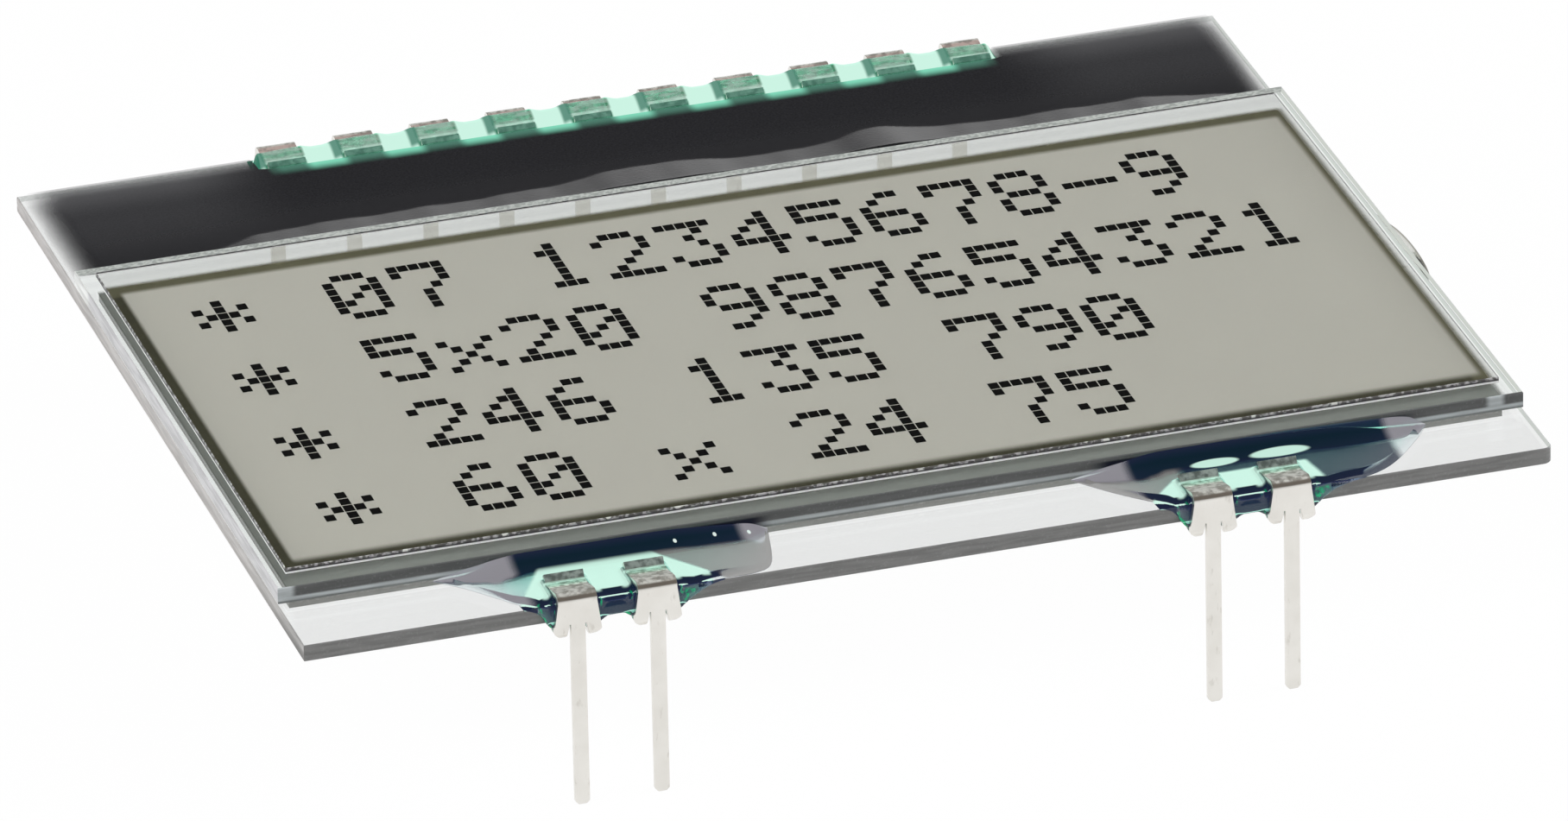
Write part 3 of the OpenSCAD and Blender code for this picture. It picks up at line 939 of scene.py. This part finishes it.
def clipMesh():
    # x runs along the plate's edge, y points out of it, z is up from the ledge
    strip, web = clip["strip"], clip["webGap"]
    slope, earSlope = math.radians(clip["fingerSlope"]), math.radians(clip["earSlope"])
    bendMid = clip["bendRadius"] + strip / 2
    contactMid = clip["contactRadius"] + strip / 2
    bendAt = Vector((web - clip["bendRadius"], clip["bendRise"]))
    fingerTop = bendAt + bendMid * Vector((-math.sin(slope), math.cos(slope)))
    contactLevel = clip["contactGap"] + strip / 2 + contactMid
    fingerLength = (fingerTop.y + contactMid * math.cos(slope) - contactLevel) / math.sin(slope)
    fingerFoot = fingerTop - fingerLength * Vector((math.cos(slope), math.sin(slope)))
    contactAt = Vector((fingerFoot.x - contactMid * math.sin(slope), contactLevel))
    plateFoot = (rearGlassLow.z - ledge) / mm
    slit = plateFoot - clip["earGap"]
    earBend = plateFoot - clip["earDrop"]
    earBottom = earBend - clip["bendRadius"] - strip
    earTip = slit - strip / 2 * math.cos(earSlope)
    earLength = (earTip - earBend + bendMid * math.cos(earSlope)) / math.sin(earSlope)
    half, legHalf = clip["headWidth"] / 2, clip["legWidth"] / 2
    slitSide = legHalf + clip["slitTop"]
    flare = (clip["earWidth"] - clip["headWidth"]) / 2 / (clip["bendRise"] - earBend)
    tiny = 1e-6  # places closer than this are the same

    bm = bmesh.new()
    sheet(bm, (-half, web), (half, web + strip), clip["bendRise"])
    for x in (legHalf, -legHalf, slitSide, -slitSide):
        cut(bm, (x, 0, 0), (1, 0, 0))
    top = bend(bm, bm.faces[:], bendAt, 90 + clip["fingerSlope"], clip["bendSteps"])
    top = run(bm, top, 180 + clip["fingerSlope"], fingerLength)
    top = bend(bm, top, contactAt, -(clip["fingerSlope"] + clip["lipAngle"]), clip["bendSteps"])
    run(bm, top, 180 - clip["lipAngle"], clip["lipLength"])

    low = [f for f in bm.faces if all(abs(v.co.z - clip["bendRise"]) < tiny for v in f.verts)]
    before = set(bm.verts)
    low = run(bm, low, -90, clip["bendRise"] - slit)
    leg = [f for f in low if abs(f.calc_center_median().x) < legHalf]
    ears = [f for f in low if abs(f.calc_center_median().x) > slitSide]
    ears = run(bm, ears, -90, slit - earBend)
    ears = bend(bm, ears, (bendAt.x, earBend), -90 - clip["earSlope"], clip["bendSteps"])
    run(bm, ears, 180 - clip["earSlope"], earLength)
    for vert in set(bm.verts) - before:
        x, z = vert.co.xz
        cornerCut = max(0, clip["earCut"] - (z - earBottom))
        outer = half + flare * (clip["bendRise"] - max(z, earBend)) - cornerCut
        share = max(0, slit - z) / (slit - earBottom)
        inner = slitSide + (clip["slitFoot"] - clip["slitTop"]) * share
        if abs(x) > (half + legHalf) / 2:
            vert.co.x = math.copysign(outer, x)
        elif abs(x) > legHalf + clip["slitTop"] / 2:
            vert.co.x = math.copysign(inner, x)
    leg = run(bm, leg, -90, slit + ledge / mm)
    tip = [e for e in leg[0].edges if abs(e.verts[0].co.x - e.verts[1].co.x) < tiny]
    roundEdges(bm, tip, clip["tipCut"], 1)
    bmesh.ops.recalc_face_normals(bm, faces=bm.faces)
    flat, sharp = math.radians(clip["flatAngle"]), math.radians(clip["sharpAngle"])
    bmesh.ops.dissolve_limit(bm, angle_limit=flat, verts=bm.verts, edges=bm.edges)
    edges = [e for e in bm.edges if e.calc_face_angle(0) > sharp]
    roundEdges(bm, edges, clip["edgeRound"], clip["edgeSteps"])
    return bm


def tinLook():
    # bright tin, with stains and painted shade on faces that point up, painted shade at the bends and
    # lips, and a moss tone under the rear glue
    look = newLook("tinnedStrip")
    y, z = look.place("YZ")
    toY, toZ = look.facing("YZ")
    out, up = abs(y) - plateEdge, z - ledge / mm
    rear = look.rearHalf(y)
    cloud = look.soft(look.grain(0.22, 3.0), 0.36, 0.66)
    names = ("stainAndShade", "lip", "moss", "mossLip", "wet")
    stainAndShade, lip, moss, mossLip, wet = (look.blend(cloud, *tin[name]) for name in names)
    onLip = look.soft(out, *tin["lipFrom"])
    # painted shade at the bends and on the lips
    stainAndShade = look.blend(look.soft(toZ, 0.86, 0.66), stainAndShade, tin["knuckle"])
    stainAndShade = look.blend(onLip, stainAndShade, lip)
    moss = look.blend(look.soft(up, *tin["wetTop"]), moss, wet)
    moss = look.blend(onLip, moss, mossLip)
    stainAndShade = look.blend(rear * look.soft(out, *tin["mossFrom"]), stainAndShade, moss)
    lipEnd = look.soft(toY * -1, 0.4, 0.6) * rear * look.soft(up, 0.0, 0.1)
    # stains and painted shade on faces that point up and on the rear lips' ends, which are less metallic
    stainAndShadeMask = (look.soft(toZ, 0.28, 0.45) + lipEnd).clamped()
    smear = look.soft(look.grain(0.18, 3.0, (1, 1, 0.35)), 0.60, 0.75)
    tone = look.blend(look.grain(0.9, 3.0), *tin["bright"])
    tone = look.blend(smear * 0.25, tone, tin["smear"])
    tone = look.blend(stainAndShadeMask, tone, stainAndShade)
    rough = 0.24 + look.grain(0.3) * 0.16
    drawn = look.bump(look.grain(0.05, stretch=(1, 1, 0.15)), 0.12, 0.01)
    metal = 1 - stainAndShadeMask * 0.65
    return look.surface(look.shiny(Base_Color=tone, Roughness=rough, Metallic=metal, Normal=drawn))


def makePins():
    look = tinLook()
    for node in sorted(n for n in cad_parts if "_pin_" in n):
        low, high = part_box(node)
        bm = clipMesh()
        bmesh.ops.translate(bm, vec=((low.x + high.x) / 2 / mm, plateEdge, ledge / mm), verts=bm.verts)
        if node.startswith("front"):
            bmesh.ops.scale(bm, vec=(1, -1, 1), verts=bm.verts)
            bmesh.ops.reverse_faces(bm, faces=bm.faces)
        bmesh.ops.scale(bm, vec=(mm, mm, mm), verts=bm.verts)
        side, _, number = node.split("_")
        made = piece(f"{side}Pin{number}", bm, [look], [node], 45)
        made.modifiers.new("evenShade", "WEIGHTED_NORMAL").keep_sharp = True


makePins()
print("pins made")


# Green glue: a sheet with its own cross-section at each place along the plate's edge
glue = dict(
    ior=1.5,
    tint=(0.97, 0.995, 0.985, 1.0),
    absorb=(0.0, 0.87, 0.66, 1.0),
    density=3000.0,
    glow=srgb(212, 251, 235),  # level faces glow in the light from below
    glowShare=0.86,
    glowRear=0.06,  # more for the rear pins
    deep=srgb(30, 36, 60),  # what bonded faces turn back
    deepRear=srgb(66, 138, 114),
    dusk=srgb(22, 52, 44),  # the same by the coat
    # painted light of the rest of the front glue: pale ends, grey and dark stretches
    pale=srgb(176, 173, 179),
    paleShare=0.65,
    tail=srgb(142, 138, 135),
    tailShare=0.75,
    gloomShare=0.85,
    # painted glints beside the front clips
    emerald=srgb(0, 190, 122),
    emeraldShare=0.6,
    shade=srgb(58, 122, 102),  # left of each rear clip
    shadeShare=0.85,
    haze=srgb(186, 200, 192),  # streaks on the rear clips
    hazeLeast=0.15,
    hazeMore=0.4,
    # painted highlights
    paintedGlint=srgb(235, 250, 245),
    spotShare=0.85,
    level=(0.976, 0.990),  # how far up a face points where the glow starts and is full
    flank=(0.66, 0.78),  # the same beside a clip
    rearTilt=0.10,  # the rear glue may lean this much more
    # where level faces glow in front, all in millimetres: start and end along x at glowFrom,
    # each with how far it moves along with y, and the last y
    glowSpans=((-12.2, 0.60, -8.1, -0.89, -14.0), (8.5, 1.10, 12.4, -0.20, -15.05)),
    glowFrom=-14.75,
    deepSpans=((-12.7, -5.4), (7.0, 15.4)),  # painted dark stretches at the front plate's foot, with painted pale ends
    tailSpan=(-8.75, 8.5),  # level faces that don't glow get painted grey light here
    gloomSpan=(8.5, 15.4),  # and painted dark here
    # spots of light as middle and half size: behind two lips, and small painted highlights
    glowSpots=((9.68, -14.50, 0.80, 0.20), (11.80, -14.46, 1.00, 0.23)),
    paintedGlintSpots=((-7.54, -14.14, 0.06, 0.09), (-6.24, -14.03, 0.06, 0.09), (-5.15, -14.05, 0.06, 0.09)),
    besideClip=(0.62, 0.74),  # from a pin's middle
    flankReach=(1.00, 0.85),
    shadeSpan=(-0.92, -0.62),
    shadeDepth=(-1.15, -0.20),  # out from the plate's edge, as what follows
    hazeFrom=(-1.10, -0.95),
    valley=(-1.05, -0.915),  # of the clip
    behindLip=(-1.30, -1.45),
    flankFrom=(-1.50, -1.40),
    flankTo=(-0.25, -0.40),
    duskFade=(-1.8, -1.2),
    emeraldFrom=(-0.20, -0.10),
    step=0.05,  # between cross-sections
    topPoints=46,
    edgePoints=18,
    skin=0.005,  # least thickness
    wallGap=0.05,  # least distance of the rim from the wall
    rounding=0.25,  # the sheet thickens over this much from its rim
    climbPower=4,
    fallShare=0.8,  # at the rear it falls to the coat over this share of its depth
    shoulder=0.50,  # it turns down over the edge from here
    shoulderShare=0.8,  # but at most over this share of its depth
    hookIn=(0.55, 0.10),  # shape of that turn where it lies on the plate and where it hangs over
    hookUp=(0.30, 0.95),
    hookBulge=1.4,
    hangFull=0.3,  # depth at which it fully hangs over
    thickFull=0.1,  # thickness at which it fully rises to a clip
    clipReach=1.5,
    frontRise=(0.13, 0.18),  # how much it rises beside a clip, and over how much
    rearRise=(0.13, 0.50),
    edgeBulge=0.19,
    bulgeReach=0.2,
    bulgeAtClip=0.4,
    sideBulge=0.26,
    sideDepth=0.90,
    sideAt=0.10,  # these are at the clips' sides
    sideReach=0.34,
)
# Along the edge: x, distance of the outer rim from the edge, height on the front plate,
# thickness, and depth on the edge
frontLeftRun = (
    (-15.10, 2.75, 0.03, 0.00, 0.00),
    (-14.30, 1.95, 0.20, 0.01, 0.00),
    (-13.60, 1.05, 0.28, 0.05, 0.00),
    (-13.10, 0.40, 0.32, 0.10, 0.00),
    (-12.60, 0.05, 0.34, 0.14, 0.20),
    (-12.20, 0.00, 0.35, 0.15, 0.60),
    (-10.16, 0.00, 0.35, 0.15, 0.66),
    (-8.10, 0.00, 0.36, 0.15, 0.60),
    (-7.40, 0.00, 0.36, 0.13, 0.22),
    (-6.60, 0.05, 0.35, 0.08, 0.00),
    (-5.60, 0.10, 0.32, 0.03, 0.00),
    (-5.00, 0.60, 0.26, 0.01, 0.00),
    (-4.45, 2.75, 0.03, 0.00, 0.00),
)
frontRightRun = (
    (5.30, 2.75, 0.03, 0.00, 0.00),
    (6.20, 1.60, 0.22, 0.01, 0.00),
    (7.00, 0.75, 0.30, 0.06, 0.00),
    (7.60, 0.25, 0.35, 0.12, 0.10),
    (8.10, 0.00, 0.37, 0.15, 0.60),
    (10.16, 0.00, 0.38, 0.15, 0.68),
    (12.20, 0.00, 0.40, 0.15, 0.60),
    (12.90, 0.00, 0.40, 0.13, 0.22),
    (14.00, 0.05, 0.42, 0.09, 0.00),
    (15.00, 0.60, 0.42, 0.05, 0.00),
    (16.20, 1.90, 0.36, 0.01, 0.00),
    (16.80, 2.75, 0.03, 0.00, 0.00),
)
rearRun = (
    (-12.45, 0.80, 0.0, 0.01, 0.00),
    (-12.15, 0.05, 0.0, 0.50, 0.45),
    (12.15, 0.05, 0.0, 0.50, 0.45),
    (12.45, 0.80, 0.0, 0.01, 0.00),
)


def along(table, x):
    # values of a run at x, on smooth curves through its rows
    last = len(table) - 1
    row = next(number for number in range(last) if x <= table[number + 1][0] or number == last - 1)
    span = table[row + 1][0] - table[row][0]
    t = min(1, max(0, (x - table[row][0]) / span))

    def slope(number, column):
        low, high = table[max(0, number - 1)], table[min(last, number + 1)]
        return (high[column] - low[column]) / (high[0] - low[0]) * span

    values = []
    for column in range(1, len(table[0])):
        start, end = table[row][column], table[row + 1][column]
        rise = (2 * t ** 3 - 3 * t * t + 1) * start + (3 * t * t - 2 * t ** 3) * end
        rise += (t ** 3 - 2 * t * t + t) * slope(row, column) + (t ** 3 - t * t) * slope(row + 1, column)
        values.append(max(rise, 0))
    return values


def partWay(ends, share):
    return ends[0] + (ends[1] - ends[0]) * share


def glueSection(x, table, columns, wall, rise):
    # outline across the plate's edge as (out, up), round once
    rim, climb, thick, depth = along(table, x)
    rim = min(rim, wall - glue["wallGap"])
    air = hair / mm
    plateFoot = (rearGlassLow.z - ledge) / mm
    over = min(1, depth / glue["hangFull"])  # how much of the sheet hangs over the edge
    beside = min(abs(x - column) for column in columns) - clip["headWidth"] / 2
    near = easing(1 - beside / rise[1]) * min(1, thick / glue["thickFull"])
    atSide = easing(1 - abs(beside - glue["sideAt"]) / glue["sideReach"]) * over
    depth = partWay((depth, glue["sideDepth"]), atSide)
    bulge = glue["edgeBulge"] * over * easing(beside / glue["bulgeReach"] + glue["bulgeAtClip"])
    bulge += (glue["sideBulge"] - glue["edgeBulge"]) * atSide

    def height(out):
        inward = -rim - out
        share = min(1, max(0, inward / (wall - rim)))
        up = climb * share ** glue["climbPower"] + thick * (1 - math.exp(-inward / glue["rounding"]))
        if not climb:  # it falls to the coat
            up *= min(1, (wall + out) / (wall * glue["fallShare"]))
        return up + rise[0] * near * easing((out + glue["clipReach"]) / glue["rounding"])

    shoulder = min(glue["shoulder"], (wall - rim) * glue["shoulderShare"])
    start, turn = air - wall, -rim - shoulder
    outline = []
    for step in range(glue["topPoints"]):
        out = start + (turn - start) * step / glue["topPoints"]
        outline.append((out, height(out)))
    top = height(turn)
    below = max(0, depth + plateFoot)  # how far it hangs under the plate
    hookIn, hookUp = (partWay(glue[key], over) for key in ("hookIn", "hookUp"))
    hooks = (
        Vector((turn, top)),
        Vector((-rim - shoulder * hookIn + bulge, top * hookUp)),
        Vector((-rim + glue["hookBulge"] * bulge, -depth - below)),
        Vector((-rim - below + air * over, max(-depth, plateFoot - air))),
    )
    for step in range(glue["edgePoints"] + 1):
        t = step / glue["edgePoints"]
        weights = ((1 - t) ** 3, 3 * t * (1 - t) ** 2, 3 * t * t * (1 - t), t ** 3)
        spot = sum((weight * hook for weight, hook in zip(weights, hooks)), Vector((0, 0)))
        outline.append((spot.x, spot.y))
    skin = air + glue["skin"]
    for number, (out, up) in enumerate(outline):
        if out < air and up > plateFoot / 2:
            outline[number] = (out, max(up, skin))
    foot = max(-depth, plateFoot - air) if depth > skin else air
    outline += [(air, foot), (air, air)] if depth > skin else [(-rim + skin, air), (-rim, air)]
    outline.append((start, air))
    return outline


def glueLook():
    look = newLook("greenGlue")
    x, y, z = look.place()
    toX, toZ = look.facing("XZ")
    outer = 1 - look.inner()
    rear = look.rearHalf(y)
    out = abs(y) - plateEdge
    aside = look.besidePins(x)
    beside = abs(aside)
    seat, wall = (ledge + hair) / mm, (frontGlassLow.y - hair) / mm

    # faces on the plates are bonded to them, and what they turn back is dark
    onPlate = look.soft(z, seat + 0.003, seat + 0.001) * look.soft(out, 0.006, 0.005)
    onWall = look.soft(y, wall - 0.002, wall - 0.001) * (1 - rear)
    clear, bent = (make(glue["tint"], glue["ior"]) for make in (look.glassy, look.bonded))
    deep, deepRear, dusk = (look.shining(glue[key]) for key in ("deep", "deepRear", "dusk"))
    dark = look.mixed(rear, deep, look.mixed(look.soft(out, *glue["duskFade"]), dusk, deepRear))
    bonded = look.node("ShaderNodeAddShader", None, {0: bent, 1: dark})
    body = look.mixed((onPlate + onWall).clamped(), clear, bonded)

    # level faces between the clips and behind them glow
    free = look.soft(beside, *glue["besideClip"]) + look.soft(out, *glue["behindLip"])
    free = free + look.band(out, *glue["valley"], 0.03) * look.grain(0.3)
    lean = y - glue["glowFrom"]
    green = rear
    for start, startLean, end, endLean, last in glue["glowSpans"]:
        span = look.rising(x - lean * startLean, start, 0.1) * look.rising(x - lean * endLean, end, -0.1)
        green = span * look.rising(y, last, -0.08) + green
    flat = look.soft(toZ + rear * glue["rearTilt"], *glue["level"]) * outer
    flank = look.soft(toZ, *glue["flank"]) * outer
    flank = flank * (look.soft(beside, *glue["flankReach"]) + rear).clamped()
    flank = flank * look.soft(out, *glue["flankFrom"]) * look.soft(out, *glue["flankTo"])
    lit = (flat + flank).clamped() * free.clamped() * green
    lit = lit * (rear * glue["glowRear"] + glue["glowShare"])
    body = look.mixed(lit, body, look.shining(glue["glow"]))

    # the rear clips have hazy streaks, and a shade at their left
    streaks = look.soft(look.grain(0.16, stretch=(0.25, 1, 1)), 0.35, 0.65)
    streaks = streaks * glue["hazeMore"] + glue["hazeLeast"]
    hazy = (1 - look.soft(beside, *glue["besideClip"])) * look.soft(out, *glue["hazeFrom"])
    body = look.mixed(hazy * streaks * rear * outer, body, look.dull(glue["haze"]))
    shaded = look.band(aside, *glue["shadeSpan"], 0.06) * look.band(out, *glue["shadeDepth"], 0.1)
    body = look.mixed(shaded * rear * outer * glue["shadeShare"], body, look.shining(glue["shade"]))

    # the rest of the front glue has painted grey, dark and pale light, and painted emerald glints beside
    # the clips
    plain = flat * (1 - green)
    greyed = plain * look.band(x, *glue["tailSpan"], 0.22)
    body = look.mixed(greyed * glue["tailShare"], body, look.dull(glue["tail"]))
    gloomy = plain * look.band(x, *glue["gloomSpan"], 0.2)
    body = look.mixed(gloomy * glue["gloomShare"], body, deep)
    ends = (1 - stretches(look, x, glue["deepSpans"], 0.2)) * (1 - rear) * (1 - flat) * outer
    body = look.mixed(ends * glue["paleShare"], body, look.dull(glue["pale"]))
    # painted emerald glints on faces that turn left beside the clips
    side = look.soft(toX * -1, 0.06, 0.22) * look.soft(out, *glue["emeraldFrom"]) * (1 - rear) * outer
    glint = look.soft(look.grain(0.14), 0.40, 0.60)
    body = look.mixed(side * glint * glue["emeraldShare"], body, look.shining(glue["emerald"]))
    # painted spots of light, and painted highlights
    for kind in ("glow", "paintedGlint"):
        for middleX, middleY, halfX, halfY in glue[kind + "Spots"]:
            away = ((x - middleX) * (1 / halfX)) ** 2 + ((y - middleY) * (1 / halfY)) ** 2
            spot = look.soft(away, 1.1, 0.7) * outer * look.soft(z, seat, seat + 0.01)
            body = look.mixed(spot * glue["spotShare"], body, look.shining(glue[kind]))
    volume = look.node("ShaderNodeVolumeAbsorption", None,
                       {"Color": glue["absorb"], "Density": glue["density"]})
    surface = look.passing(glue["tint"], body)
    look.node("ShaderNodeOutputMaterial", None, {"Surface": surface, "Volume": volume})
    return look


def makeGlue(name, node, table, columns, side, wall, rise, look):
    first, last = table[0][0], table[-1][0]
    count = round((last - first) / glue["step"])
    bm = bmesh.new()
    end = []
    for number in range(count + 1):
        x = first + (last - first) * number / count
        outline = glueSection(x, table, columns, wall, rise)
        if end:
            end = advance(bm, end, Matrix())
        else:
            bmesh.ops.create_circle(bm, cap_ends=True, segments=len(outline), radius=1.0)
            end = bm.faces[:]
        for vert, (out, up) in zip(end[0].verts, outline):
            vert.co = (x, plateEdge + out, ledge / mm + up)
    bmesh.ops.scale(bm, vec=(mm, mm * side, mm), verts=bm.verts)
    bmesh.ops.recalc_face_normals(bm, faces=bm.faces)
    if bm.calc_volume(signed=True) < 0:  # a thin shape can come out turned
        bmesh.ops.reverse_faces(bm, faces=bm.faces)
    return piece(name, bm, [look], [node], 60)


def makeAllGlue():
    look = glueLook()
    half = len(frontColumns) // 2
    wall = (frontGlassLow.y - rearGlassLow.y) / mm
    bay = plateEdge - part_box("rear_glue")[0].y / mm
    left, right = frontColumns[:half], frontColumns[half:]
    rise = glue["frontRise"]
    makeGlue("frontLeftGlue", "front_left_glue", frontLeftRun, left, -1, wall, rise, look)
    makeGlue("frontRightGlue", "front_right_glue", frontRightRun, right, -1, wall, rise, look)
    makeGlue("rearGlue", "rear_glue", rearRun, rearColumns, 1, bay, glue["rearRise"], look)


makeAllGlue()
print("glue made")
